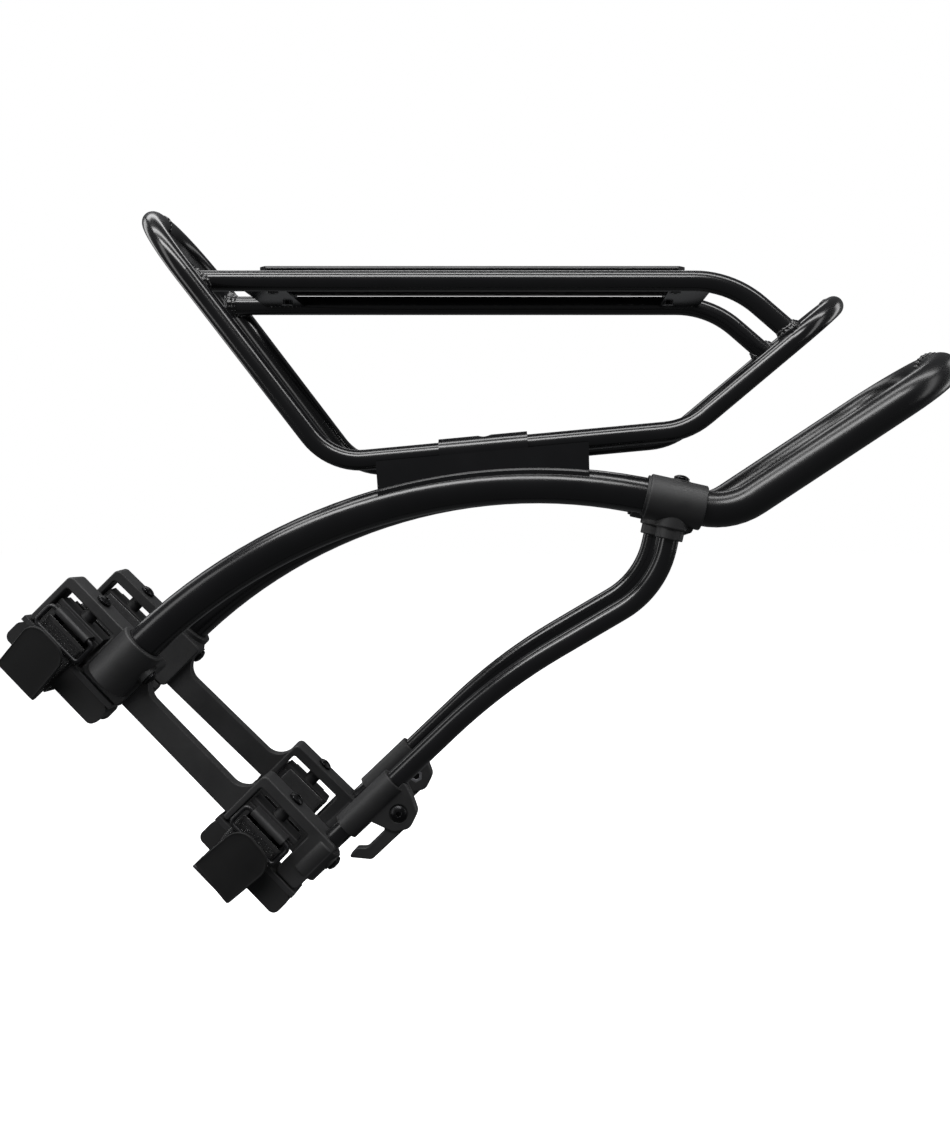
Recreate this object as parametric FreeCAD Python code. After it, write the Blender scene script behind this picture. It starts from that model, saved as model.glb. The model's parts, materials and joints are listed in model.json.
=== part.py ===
import FreeCAD, Part
import math
import os

# Rear rack that straps to the two seatstays of a bicycle.
# Frame: +X to the rear of the bicycle, +Z up, left side at -Y.
# Origin: centre of the top face of the bag track.  Millimetres.

os.makedirs("parts", exist_ok=True)
V = FreeCAD.Vector

# ---------------------------------------------------------------- driving dimensions
MAIN_R = 11.0               # main tube, 22 mm outside diameter
MAIN_WALL = 2.0
THIN_R = 6.35               # deck tubes and struts, 12.7 mm outside diameter
THIN_WALL = 1.6
MAIN_Y = 52.0               # half the spacing of the main tubes
DECK_Y = 51.0               # half the spacing of the lower deck tubes
FRONT_HOOP_Y = 58.0
REAR_HOOP_Y = 49.0
RAIL_Y = 45.8

# side view points (x, z) where the straight runs of each tube would meet
MAIN_SOCKET = (-217.8, -249.9)
MAIN_CROWN = (-69.6, -101.7)
MAIN_DIP = (156.8, -152.3)
LOOP_TIP = (296.7, -60.1)
CROWN_R = 343.5
DIP_R = 42.0
LOOP_CORNER_R = 43.0

HOOP_FRONT = (-204.2, 34.5)
DECK_FRONT = (-85.0, -121.3)
DECK_REAR = (131.5, -101.1)
HOOP_REAR = (229.3, -19.3)
FRONT_CORNER_R = 50.0
REAR_CORNER_R = 44.0
DECK_FRONT_R = 38.0
DECK_REAR_R = 45.0

RAIL_Z = -9.55
RAIL_BEND_X = 158.5
RAIL_BEND_R = 62.0
RAIL_FRONT_X = -171.0
RAIL_END = (199.4, -44.9)

TRACK_LENGTH = 262.0
TRACK_HALF_WIDTH = 45.0
TRACK_THICK = 3.2
TRACK_BEVEL = 1.2           # how far both long edges are bevelled in, above and below
TRACK_CHAMFER = 6.0
CROSS_PLATE_LENGTH = 26.5
CROSS_PLATE_THICK = 3.0
CROSS_PLATE_TOP = -8.3
CROSS_PLATE_FRONT_X = -132.4
CROSS_PLATE_REAR_X = 136.5
TRACK_SCREW_X = 127.2
TRACK_SCREW_Y = 22.0

JOINT_X = 124.6             # where the strut axis crosses the main tube axis
CLAMP_FRONT_X = 106.8
CLAMP_REAR_X = 141.0
CLAMP_R = 13.8
CLAMP_EDGE = 1.0            # rounding of the sleeve's and the boss's outer edges
CLAMP_BOSS_R = 8.6
CLAMP_BOSS_DROP = 23.0
CLAMP_SEAT = CLAMP_R + 0.1  # distance from the main tube's axis to the bolt head's seat
STRUT_TOP_DROP = 14.6
STRUT_KNEE = (113.0, -197.6)
STRUT_BACK = (16.4, -254.4)
STRUT_FOOT = (-101.0, -365.9)
STRUT_KNEE_R = 58.0
STRUT_BACK_R = 360.0
STRUT_FOOT_Y = 50.0

# seatstay frame: u runs down the stay, v points back and up, w points outward
STAY_ANGLE = 45.0           # the stay's slope in side view
SWIVEL = (-227.2, -206.5)   # upper swivel axis at the back face of the bracket
SWIVEL_Y = 41.0
SWIVEL_SPACING = 169.8
STAY_SPLAY = 7.5            # how much further out the lower swivel is
STAY_R = 8.0
STAY_V = -56.0              # stay axis, in front of the bracket's back face

BRACKET_DEPTH = 36.0
BRACKET_HALF = 9.0
BACK_WALL = 7.0
TOP_WALL = 4.0
WINDOW_TOP = -20.0
WINDOW_BOTTOM = 21.0
UPPER_BLOCK_END = 54.0
LOWER_BLOCK_END = 38.6
LINK_V = (-34.0, -18.7)
LINK_HALF = 4.5
LINK_FILLET = 12.0
BLOCK_CORNER = 3.5          # outer corners of the two blocks
WINDOW_CORNER = 1.6
SOFT_EDGE = 1.0             # rounding along the edges of moulded parts
MAIN_CUP = 27.5             # depth of the main tube's socket
STRUT_CUP = 20.0
CUP_WALL = 3.6
FIT = 0.05                  # radial clearance of a tube in its socket
MOUTH_RELIEF = 0.15         # the same where the main tube starts to bend

SWIVEL_R = 3.0
SWIVEL_CLEARANCE = 0.06
HEAD_R = 4.8
HEAD_H = 3.1
LOCK_GAP = 1.2              # how far a lock screw's tip stays from its tube
STRAP_WIDTH = 31.0
STRAP_THICK = 1.8
PAD_TOP = -26.0
PAD_END = {"upper": 51.0, "lower": 40.0}
PAD_HALF = 10.0

UP = V(0, 0, 1)
OUT = V(0, -1, 0)


# ---------------------------------------------------------------- helpers
def side(point, y):
    """A point of the side view, at the given distance out to the left."""
    return V(point[0], -y, point[1])


def unit(vector):
    return V(vector) * (1.0 / vector.Length)


def path(points, radii):
    """Straight runs through the points, with a tangent arc at each inner point."""
    edges = []
    start = points[0]
    for before, corner, after, radius in zip(points, points[1:], points[2:], radii):
        into = unit(corner - before)
        out = unit(after - corner)
        half_turn = into.getAngle(out) / 2
        arc_start = corner - into * (radius * math.tan(half_turn))
        arc_end = corner + out * (radius * math.tan(half_turn))
        inward = unit(out - into)
        centre = corner + inward * (radius / math.cos(half_turn))
        edges.append(Part.LineSegment(start, arc_start).toShape())
        edges.append(Part.Arc(arc_start, centre - inward * radius, arc_end).toShape())
        start = arc_end
    edges.append(Part.LineSegment(start, points[-1]).toShape())
    return Part.Wire(edges)


def rod(points, radii, radius):
    """A round bar along a path."""
    spine = path(points, radii)
    circle = Part.Circle(points[0], unit(points[1] - points[0]), radius)
    ring = Part.Wire([circle.toShape()])
    return spine.makePipeShell([ring], True, True)


def tube(points, radii, outer, wall):
    return rod(points, radii, outer).cut(rod(points, radii, outer - wall))


def cylinder(start, end, radius):
    return Part.makeCylinder(radius, (end - start).Length, start, end - start)


def outline(points, rounding):
    """A closed flat outline; the rounding is one radius, or a list with one for each corner."""
    edges = []
    count = len(points)
    radii = rounding if isinstance(rounding, list) else [rounding] * count
    for index, (corner, radius) in enumerate(zip(points, radii)):
        into = unit(corner - points[index - 1])
        out = unit(points[(index + 1) % count] - corner)
        half_turn = into.getAngle(out) / 2
        inward = unit(out - into)
        start = corner - into * (radius * math.tan(half_turn))
        end = corner + out * (radius * math.tan(half_turn))
        centre = corner + inward * (radius / math.cos(half_turn))
        edges.append((start, centre - inward * radius, end))
    shapes = []
    for index, (start, middle, end) in enumerate(edges):
        shapes.append(Part.Arc(start, middle, end).toShape())
        next_start = edges[(index + 1) % count][0]
        if (next_start - end).Length > 1e-6:
            shapes.append(Part.LineSegment(end, next_start).toShape())
    return Part.Wire(shapes)


def slab(points, radius, direction):
    """A flat plate: the rounded outline, pushed along the direction."""
    return Part.Face(outline(points, radius)).extrude(direction)


def block(u, v, w):
    return Part.makeBox(u[1] - u[0], v[1] - v[0], w[1] - w[0], V(u[0], v[0], w[0]))


def plate_uv(points, radius, w):
    """A plate in the u-v plane between two values of w."""
    corners = [V(u, v, w[0]) for u, v in points]
    return slab(corners, radius, V(0, 0, w[1] - w[0]))


def plate_vw(points, radius, u):
    """A plate in the v-w plane between two values of u."""
    corners = [V(u[0], v, w) for v, w in points]
    return slab(corners, radius, V(u[1] - u[0], 0, 0))


def softened(plate, axis, radius=SOFT_EDGE):
    """Round every edge that lies in the two flat faces square to the axis."""
    edges = []
    for edge in plate.Edges:
        box = edge.BoundBox
        if {"x": box.XLength, "y": box.YLength, "z": box.ZLength}[axis] < 1e-6:
            edges.append(edge)
    return plate.makeFillet(radius, edges)


def round_bar(start, end, radius, edge_radius):
    """A solid cylinder whose far edge is rounded."""
    bar = cylinder(start, end, radius)
    rim = max((edge for edge in bar.Edges if edge.isClosed()),
              key=lambda edge: (edge.CenterOfMass - start).Length)
    return bar.makeFillet(edge_radius, [rim])


def fused(shapes):
    return shapes[0].multiFuse(shapes[1:]).removeSplitter()


def largest(shape):
    return max(shape.Solids, key=lambda solid: solid.Volume)


def mirrored(shape):
    return shape.mirror(V(0, 0, 0), V(0, 1, 0))


def button_screw(head_seat, towards, shank_r, shank_length):
    """A dome-headed screw with a hexagon socket, whose head sits on head_seat."""
    away = unit(towards) * -1
    head = cylinder(head_seat, head_seat + away * (HEAD_H * 0.45), HEAD_R)
    dome_r = (HEAD_R ** 2 + (HEAD_H * 0.55) ** 2) / (2 * HEAD_H * 0.55)
    dome_top = head_seat + away * HEAD_H
    dome = Part.makeSphere(dome_r, dome_top - away * dome_r)
    cap = dome.common(cylinder(head_seat + away * (HEAD_H * 0.45), dome_top + away, HEAD_R))
    shank = cylinder(head_seat, head_seat - away * shank_length, shank_r)
    screw = fused([head, cap, shank])
    hexagon = Part.makePolygon(hexagon_points(dome_top + away, away, 1.6))
    socket = Part.Face(Part.Wire(hexagon)).extrude(away * -(HEAD_H * 0.6 + 1))
    return screw.cut(socket)


def hexagon_points(centre, axis, half_width):
    """Seven points, the first repeated, round a hexagon square to the axis."""
    across = axis.cross(V(0, 1, 0))
    if across.Length < 0.1:
        across = axis.cross(V(1, 0, 0))
    across = unit(across)
    along = unit(axis.cross(across))
    corner = half_width / math.cos(math.pi / 6)
    angles = [math.pi / 3 * step for step in range(7)]
    return [centre + across * (corner * math.cos(a)) + along * (corner * math.sin(a)) for a in angles]


# ---------------------------------------------------------------- seatstay frame
SLOPE = math.radians(STAY_ANGLE)
SPLAY = math.asin(STAY_SPLAY / SWIVEL_SPACING)
U_AXIS = V(math.cos(SPLAY) * math.cos(SLOPE), -math.sin(SPLAY), -math.cos(SPLAY) * math.sin(SLOPE))
V_AXIS = V(math.sin(SLOPE), 0, math.cos(SLOPE))
W_AXIS = U_AXIS.cross(V_AXIS)
STAY_ORIGIN = side(SWIVEL, SWIVEL_Y)


def stay_point(u, v, w):
    return STAY_ORIGIN + U_AXIS * u + V_AXIS * v + W_AXIS * w


def to_stay(point):
    offset = point - STAY_ORIGIN
    return V(offset.dot(U_AXIS), offset.dot(V_AXIS), offset.dot(W_AXIS))


def placed(shape, u_shift=0.0):
    """Move a shape drawn in (u, v, w) to its place on the left side of the rack."""
    origin = stay_point(u_shift, 0, 0)
    matrix = FreeCAD.Matrix(
        U_AXIS.x, V_AXIS.x, W_AXIS.x, origin.x,
        U_AXIS.y, V_AXIS.y, W_AXIS.y, origin.y,
        U_AXIS.z, V_AXIS.z, W_AXIS.z, origin.z,
        0, 0, 0, 1)
    return shape.transformShape(matrix, True) or shape


# ---------------------------------------------------------------- main tubes and struts
CLAMP_AXIS = unit(V(MAIN_DIP[0] - MAIN_CROWN[0], 0, MAIN_DIP[1] - MAIN_CROWN[1]))


def on_clamp_axis(x):
    start = side(MAIN_CROWN, MAIN_Y)
    return start + CLAMP_AXIS * ((x - start.x) / CLAMP_AXIS.x)


JOINT = on_clamp_axis(JOINT_X)


def strut_points():
    """The strut lies in a plane that leans in a little towards its foot."""
    foot = V(STRUT_FOOT[0], 0, STRUT_FOOT[1])
    head = V(JOINT.x, 0, JOINT.z)
    run = foot - head
    lean = (MAIN_Y - STRUT_FOOT_Y) / run.Length
    corners = [(JOINT.x, JOINT.z), STRUT_KNEE, STRUT_BACK, STRUT_FOOT]
    points = []
    for corner in corners:
        along = (V(corner[0], 0, corner[1]) - head).dot(unit(run))
        points.append(side(corner, MAIN_Y - lean * along))
    return points


STRUT_POINTS = strut_points()
STRUT_DOWN = unit(STRUT_POINTS[1] - STRUT_POINTS[0])
STRUT_LAST = unit(STRUT_POINTS[3] - STRUT_POINTS[2])


def main_tube():
    points = [side(MAIN_SOCKET, MAIN_Y), side(MAIN_CROWN, MAIN_Y), side(MAIN_DIP, MAIN_Y),
              side(LOOP_TIP, MAIN_Y), side(LOOP_TIP, 0)]
    shape = tube(points, [CROWN_R, DIP_R, LOOP_CORNER_R], MAIN_R, MAIN_WALL)
    bolt_hole = cylinder(JOINT - STRUT_DOWN * 20, JOINT + STRUT_DOWN * 20, 2.6)
    return shape.cut(bolt_hole)


def strut():
    start = STRUT_POINTS[0] + STRUT_DOWN * STRUT_TOP_DROP
    return tube([start] + STRUT_POINTS[1:], [STRUT_KNEE_R, STRUT_BACK_R], THIN_R, THIN_WALL)


def strut_insert():
    top = JOINT + STRUT_DOWN * (STRUT_TOP_DROP + 0.5)
    plug = cylinder(top, top + STRUT_DOWN * 13, THIN_R - THIN_WALL)
    return plug.cut(cylinder(top - STRUT_DOWN, top + STRUT_DOWN * 14, 2.5))


def junction_clamp():
    """A moulded sleeve round the main tube, with a boss below that takes the strut."""
    front = on_clamp_axis(CLAMP_FRONT_X)
    rear = on_clamp_axis(CLAMP_REAR_X)
    sleeve = fused([round_bar(JOINT, front, CLAMP_R, CLAMP_EDGE), round_bar(JOINT, rear, CLAMP_R, CLAMP_EDGE)])
    tab = cylinder(front - CLAMP_AXIS * 1.6, front + CLAMP_AXIS * 4, CLAMP_R - 1.3)
    boss = round_bar(JOINT, JOINT + STRUT_DOWN * CLAMP_BOSS_DROP, CLAMP_BOSS_R, 0.8)
    step = round_bar(JOINT, JOINT + STRUT_DOWN * (CLAMP_BOSS_DROP - 6.5), CLAMP_BOSS_R + 1.6, CLAMP_EDGE)
    rib = slab([JOINT + CLAMP_AXIS * 4 + STRUT_DOWN * 9 + OUT * -2.5,
                JOINT + CLAMP_AXIS * 14.5 + STRUT_DOWN * 9 + OUT * -2.5,
                JOINT + CLAMP_AXIS * 12.5 + STRUT_DOWN * 16 + OUT * -2.5,
                JOINT + CLAMP_AXIS * 6 + STRUT_DOWN * 20 + OUT * -2.5], 1.5, OUT * 5)
    seat = cylinder(JOINT, JOINT - STRUT_DOWN * CLAMP_SEAT, HEAD_R + 1.0)
    body = fused([sleeve, tab, boss, step, rib, seat])
    body = body.cut(cylinder(front - CLAMP_AXIS * 5, rear + CLAMP_AXIS, MAIN_R + 0.2))
    strut_top = JOINT + STRUT_DOWN * (STRUT_TOP_DROP - 0.3)
    body = body.cut(cylinder(strut_top, JOINT + STRUT_DOWN * 40, THIN_R + FIT))
    return body.cut(cylinder(JOINT - STRUT_DOWN * 20, JOINT + STRUT_DOWN * 20, 2.6))


def junction_bolt():
    seat = JOINT - STRUT_DOWN * CLAMP_SEAT
    return button_screw(seat, STRUT_DOWN, 2.5, CLAMP_SEAT + 26)


# ---------------------------------------------------------------- deck
HOOP_POINTS = [side(HOOP_FRONT, 0), side(HOOP_FRONT, FRONT_HOOP_Y), side(DECK_FRONT, DECK_Y),
               side(DECK_REAR, DECK_Y), side(HOOP_REAR, REAR_HOOP_Y), side(HOOP_REAR, 0)]
HOOP_RADII = [FRONT_CORNER_R, DECK_FRONT_R, DECK_REAR_R, REAR_CORNER_R]


def deck_hoop():
    """One half of the closed deck frame: front hoop leg, lower tube and rear hoop leg."""
    return tube(HOOP_POINTS, HOOP_RADII, THIN_R, THIN_WALL)


def deck_hoop_solid():
    return rod(HOOP_POINTS, HOOP_RADII, THIN_R)


RAIL_POINTS = [side((RAIL_FRONT_X, RAIL_Z), RAIL_Y), side((RAIL_BEND_X, RAIL_Z), RAIL_Y), side(RAIL_END, RAIL_Y)]


def deck_rail():
    """A rail whose ends are coped to fit the hoop legs."""
    return largest(tube(RAIL_POINTS, [RAIL_BEND_R], THIN_R, THIN_WALL).cut(deck_hoop_solid()))


def deck_rail_solid():
    return rod(RAIL_POINTS, [RAIL_BEND_R], THIN_R)


def track_plate():
    """The plate that a bag slides on to, with bevelled edges to grip and a middle slot."""
    half = TRACK_LENGTH / 2
    flat = TRACK_HALF_WIDTH - TRACK_BEVEL
    section = [V(-half, -flat, 0), V(-half, flat, 0), V(-half, TRACK_HALF_WIDTH, -TRACK_THICK / 2),
               V(-half, flat, -TRACK_THICK), V(-half, -flat, -TRACK_THICK),
               V(-half, -TRACK_HALF_WIDTH, -TRACK_THICK / 2)]
    plate = Part.Face(Part.makePolygon(section + section[:1])).extrude(V(TRACK_LENGTH, 0, 0))
    for sign_x in (-1, 1):
        for sign_y in (-1, 1):
            corner = [V(sign_x * (half + 1), sign_y * (TRACK_HALF_WIDTH + 1), -5),
                      V(sign_x * (half - TRACK_CHAMFER), sign_y * (TRACK_HALF_WIDTH + 1), -5),
                      V(sign_x * (half + 1), sign_y * (TRACK_HALF_WIDTH - TRACK_CHAMFER), -5)]
            plate = plate.cut(Part.Face(Part.makePolygon(corner + corner[:1])).extrude(UP * 10))
    for x in (-80, 0, 80):
        slot = [V(x - 30, -9, -5), V(x + 30, -9, -5), V(x + 30, 9, -5), V(x - 30, 9, -5)]
        plate = plate.cut(slab(slot, 8.0, UP * 10))
    for x, y in track_screw_places():
        plate = plate.cut(Part.makeCylinder(2.1, 10, V(x, y, -5)))
    return plate


def track_screw_places():
    return [(x, y) for x in (-TRACK_SCREW_X, TRACK_SCREW_X) for y in (-TRACK_SCREW_Y, TRACK_SCREW_Y)]


def cross_plate(x):
    """A plate welded between the rails, with two raised bosses that carry one end of the track."""
    half_width = RAIL_Y - THIN_R + 1.2
    front = x - CROSS_PLATE_LENGTH / 2
    rear = x + CROSS_PLATE_LENGTH / 2
    under = CROSS_PLATE_TOP - CROSS_PLATE_THICK
    corners = [V(front, -half_width, under), V(rear, -half_width, under), V(rear, half_width, under),
               V(front, half_width, under)]
    plate = slab(corners, 2.0, UP * CROSS_PLATE_THICK)
    screws = [place for place in track_screw_places() if front < place[0] < rear]
    rise = CROSS_PLATE_THICK - TRACK_THICK - CROSS_PLATE_TOP
    plate = fused([plate] + [Part.makeCylinder(3.9, rise, V(hole_x, hole_y, under)) for hole_x, hole_y in screws])
    for hole_x, hole_y in screws:
        plate = plate.cut(Part.makeCylinder(2.05, 20, V(hole_x, hole_y, under - 5)))
    rail = deck_rail_solid()
    return largest(plate.cut(rail).cut(mirrored(rail)))


def track_screws():
    """Screws from below, through the cross plates into the track."""
    screws = []
    under = CROSS_PLATE_TOP - CROSS_PLATE_THICK
    for x, y in track_screw_places():
        seat = V(x, y, under)
        shank = Part.makeCylinder(2.0, -0.4 - under, seat)
        head = Part.makeCylinder(3.6, 1.8, seat, V(0, 0, -1))
        recess = Part.Face(Part.Wire(Part.makePolygon(hexagon_points(seat - UP * 3, UP, 1.3)))).extrude(UP * 2)
        screws.append(head.fuse(shank).removeSplitter().cut(recess))
    return Part.makeCompound(screws)


def hoop_plate():
    """A flat plate across the top of the front hoop."""
    leg = unit(V(DECK_FRONT[0] - HOOP_FRONT[0], 0, DECK_FRONT[1] - HOOP_FRONT[1]))
    normal = leg.cross(V(0, 1, 0))
    apex = side(HOOP_FRONT, 0)
    half = FRONT_HOOP_Y - THIN_R + 0.5
    top = apex + leg * 2.0 - normal * 1.0
    corners = [top + V(0, -half, 0), top + V(0, half, 0),
               top + V(0, half, 0) + leg * 30, top + V(0, -half, 0) + leg * 30]
    plate = slab(corners, 5.0, normal * 2.0)
    for centre_y in (-25.0, 25.0):
        centre = apex + leg * 19 + V(0, centre_y, 0)
        plate = plate.cut(cylinder(centre - normal * 5, centre + normal * 5, 2.6))
    for hoop in (deck_hoop_solid(), mirrored(deck_hoop_solid())):
        plate = plate.cut(hoop)
    return largest(plate)


def saddle():
    """A folded bracket that joins the lower deck tube to the crown of the main tube."""
    wall = 2.0
    centre_y = -DECK_Y
    deck_run = unit(V(DECK_REAR[0] - DECK_FRONT[0], 0, DECK_REAR[1] - DECK_FRONT[1]))

    def deck_z(x):
        return DECK_FRONT[1] + (x - DECK_FRONT[0]) * deck_run.z / deck_run.x

    front_x, rear_x = -55.0, 72.0
    wrap_front, wrap_rear = -19.0, 34.5
    outer_half = THIN_R + wall

    def prism(half, extra):
        low = -150.0
        corners = [V(front_x, 0, low), V(rear_x, 0, low), V(rear_x - 1, 0, deck_z(rear_x) + extra),
                   V(front_x - 2, 0, deck_z(front_x) + extra)]
        face = Part.Face(Part.makePolygon(corners + corners[:1]))
        return face.extrude(V(0, 2 * half, 0)).translated(V(0, centre_y - half, 0))

    start = V(wrap_front, centre_y, deck_z(wrap_front))
    end = V(wrap_rear, centre_y, deck_z(wrap_rear))
    wrap = cylinder(start, end, outer_half)
    plug_hole = V(8.0, centre_y, deck_z(8.0))
    wrap = wrap.cut(cylinder(plug_hole, plug_hole + UP * 20, 4.0))
    body = prism(outer_half, -2.0).cut(prism(THIN_R - 0.2, -THIN_R + 2))
    body = fused([body, wrap])
    flare = rod([side(MAIN_SOCKET, MAIN_Y), side(MAIN_CROWN, MAIN_Y), side(MAIN_DIP, MAIN_Y),
                 side(LOOP_TIP, MAIN_Y)], [CROWN_R, DIP_R], MAIN_R + 1.6)
    flange_zone = Part.makeBox(rear_x - front_x + 2, 2 * outer_half + 3, 60, V(front_x - 1, centre_y - outer_half - 1.5, -150))
    foot = flare.common(flange_zone)
    above = prism(outer_half + 1.5, -3.0)
    foot = foot.common(above)
    inside = prism(THIN_R - 0.2, -THIN_R + 2)
    foot = foot.cut(inside)
    body = fused([body, foot])
    main = rod([side(MAIN_SOCKET, MAIN_Y), side(MAIN_CROWN, MAIN_Y), side(MAIN_DIP, MAIN_Y),
                side(LOOP_TIP, MAIN_Y)], [CROWN_R, DIP_R], MAIN_R)
    below = main.translated(V(0, 0, -6)).fuse(main.translated(V(0, 0, -14)))
    body = body.cut(main).cut(below).cut(deck_hoop_solid())
    return largest(body)


# ---------------------------------------------------------------- side brackets
def main_socket_axis():
    end = side(MAIN_SOCKET, MAIN_Y)
    return end, unit(side(MAIN_CROWN, MAIN_Y) - end)


def gusset(corner, direction, w):
    """The filling of an inner corner, up to an arc of the link's fillet radius."""
    far = (corner[0] + direction[0] * LINK_FILLET, corner[1] + direction[1] * LINK_FILLET)
    u_range = sorted((corner[0] - direction[0], far[0]))
    v_range = sorted((corner[1] - direction[1], far[1]))
    hollow = Part.makeCylinder(LINK_FILLET, 4 * BRACKET_HALF, V(far[0], far[1], -2 * BRACKET_HALF))
    return block(u_range, v_range, w).cut(hollow)


def bracket_frame(end):
    """The window that holds one cradle, with the solid block below it."""
    depth = -BRACKET_DEPTH
    top = WINDOW_TOP - TOP_WALL
    corners = [(top, depth), (top, 0), (end, 0), (end, depth), (WINDOW_BOTTOM, depth),
               (WINDOW_BOTTOM, -BACK_WALL), (WINDOW_TOP, -BACK_WALL), (WINDOW_TOP, depth)]
    radii = [WINDOW_CORNER, BLOCK_CORNER, BLOCK_CORNER, BLOCK_CORNER, BLOCK_CORNER,
             WINDOW_CORNER, WINDOW_CORNER, WINDOW_CORNER]
    return softened(plate_uv(corners, radii, (-BRACKET_HALF, BRACKET_HALF)), "z")


def side_bracket():
    """The moulded bracket that ties a main tube, a strut and two stay cradles together."""
    lower = SWIVEL_SPACING
    top = lower + WINDOW_TOP - TOP_WALL
    front_v, back_v = LINK_V
    half = (-LINK_HALF, LINK_HALF)
    link = block((UPPER_BLOCK_END - 12, top + 3), LINK_V, half)
    gussets = [gusset((UPPER_BLOCK_END, back_v), (1, 1), half), gusset((top, back_v), (-1, 1), half)]
    body = fused([placed(bracket_frame(UPPER_BLOCK_END)), placed(bracket_frame(LOWER_BLOCK_END), lower),
                  placed(fused([link] + gussets))])

    tube_end, tube_run = main_socket_axis()
    mouth = tube_end + tube_run * MAIN_CUP
    cup = round_bar(tube_end - tube_run * 4, mouth, MAIN_R + CUP_WALL, SOFT_EDGE)
    strut_end = STRUT_POINTS[3]
    strut_mouth = strut_end - STRUT_LAST * STRUT_CUP
    small_cup = round_bar(strut_end + STRUT_LAST * 2, strut_mouth, THIN_R + CUP_WALL, SOFT_EDGE)
    body = fused([body, cup, small_cup])
    for axis, _, seat_u, screw_v in lock_screws():
        boss = Part.makeCylinder(HEAD_R + 1.2, seat_u - axis.x, V(axis.x, screw_v, axis.z), V(1, 0, 0))
        body = fused([body, placed(boss)])
    body = body.cut(cylinder(tube_end, mouth + tube_run * 5, MAIN_R + FIT))
    body = body.cut(cylinder(mouth - tube_run * 8, mouth + tube_run * 5, MAIN_R + MOUTH_RELIEF))
    body = body.cut(cylinder(strut_end, strut_mouth - STRUT_LAST * 8, THIN_R + FIT))
    for axis, _, seat_u, screw_v in lock_screws():
        hole = Part.makeCylinder(2.6, seat_u + 1 - axis.x, V(axis.x, screw_v, axis.z), V(1, 0, 0))
        body = body.cut(placed(hole))
    for shift in (0.0, lower):
        hole = Part.makeCylinder(SWIVEL_R + SWIVEL_CLEARANCE, BACK_WALL + 4,
                                 V(shift, -BACK_WALL - 2, 0), V(0, 1, 0))
        body = body.cut(placed(hole))
    return body


def lock_screws():
    """For each socket: the tube end's place, its radius, the screw seat's u and the screw's v."""
    tube_end, _ = main_socket_axis()
    sockets = ((tube_end, MAIN_R, UPPER_BLOCK_END, -9.0),
               (STRUT_POINTS[3], THIN_R, SWIVEL_SPACING + LOWER_BLOCK_END, -10.0))
    places = []
    for end, radius, block_end, screw_v in sockets:
        axis = to_stay(end)
        seat_u = max(block_end, axis.x + radius + CUP_WALL) + 0.6
        places.append((axis, radius, seat_u, screw_v))
    return places


def socket_screws():
    """Two lock screws, one for the main tube's socket and one for the strut's."""
    screws = []
    for axis, radius, seat_u, screw_v in lock_screws():
        seat = stay_point(seat_u, screw_v, axis.z)
        length = seat_u - axis.x - radius - LOCK_GAP
        screws.append(button_screw(seat, U_AXIS * -1, 2.5, length))
    return screws


# ---------------------------------------------------------------- stay cradles
CARRIER_FRONT = -40.0
CARRIER_BACK = -36.6
POST_END = -BACK_WALL - 0.3
PAD_FRONT = STAY_V + 1.0
STRAP_INNER = PAD_HALF + 0.4
RING_W = (12.6, 15.4)
RING_BAR_R = 1.4
RING_FRONT_V = -33.0
RING_BACK_V = -18.7
RING_HALF_U = 19.5
TAIL_W = (16.0, 17.8)
HEEL_V = -65.6
HEEL_W = 14.2
TAIL_LENGTH = {"upper": 41.0, "lower": 38.0}
TAIL_TILT = {"upper": 18.0, "lower": 5.0}
TAIL_TURN = {"upper": 0.0, "lower": -5.0}
FLANGE_V = (-18.3, -14.3)
STRAP_BACK = -24.5          # where the strap's outer leg meets the ring's ear
STRAP_INNER_BACK = -14.5    # the inner leg runs further back


def carrier(level):
    """The plate behind the pad, with the post that the swivel screw holds."""
    base = block((PAD_TOP, PAD_END[level]), (CARRIER_FRONT, CARRIER_BACK), (-PAD_HALF, PAD_HALF))
    stem = block((-18.3, 18.3), (CARRIER_BACK, FLANGE_V[0]), (-7.0, 7.0))
    flange = softened(block((-18.5, 18.5), FLANGE_V, (-6.5, 6.5)), "y", 0.8)
    post = Part.makeCylinder(4.6, POST_END - FLANGE_V[1], V(0, FLANGE_V[1], 0), V(0, 1, 0))
    ear_v = [(RING_BACK_V - 2.4, 6.5), (RING_BACK_V - 2.4, 16.4), (RING_BACK_V + 2.4, 16.4),
             (RING_BACK_V + 2.4, 6.5)]
    ear = plate_vw(ear_v, [0.5, 2.3, 2.3, 0.5], (-13.0, 13.0))
    pocket_top = block((-14.0, -6.0), (-34.0, -20.0), (-8.0, 8.0))
    pocket_bottom = block((6.0, 14.0), (-34.0, -20.0), (-8.0, 8.0))
    body = fused([base, stem, flange, post, ear]).cut(pocket_top).cut(pocket_bottom)
    pin_w = (RING_W[0] + RING_W[1]) / 2
    pin_hole = Part.makeCylinder(RING_BAR_R + 0.06, 60, V(-30, RING_BACK_V, pin_w), V(1, 0, 0))
    screw_hole = Part.makeCylinder(SWIVEL_R, 30, V(0, -28, 0), V(0, 1, 0))
    return body.cut(pin_hole).cut(screw_hole)


def pad(level):
    """The rubber block that grips the stay: rounded ends, and a groove of the stay's radius."""
    bottom = PAD_END[level]
    corners = [(PAD_TOP, CARRIER_FRONT), (bottom, CARRIER_FRONT), (bottom, PAD_FRONT), (PAD_TOP, PAD_FRONT)]
    body = plate_uv(corners, 4.5, (-PAD_HALF, PAD_HALF))
    groove = Part.makeCylinder(STAY_R, 200, V(-100, STAY_V, 0), V(1, 0, 0))
    return body.cut(groove)


def swivel_screw():
    return button_screw(V(0, 0.3, 0), V(0, -1, 0), SWIVEL_R, 22.0)


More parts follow.
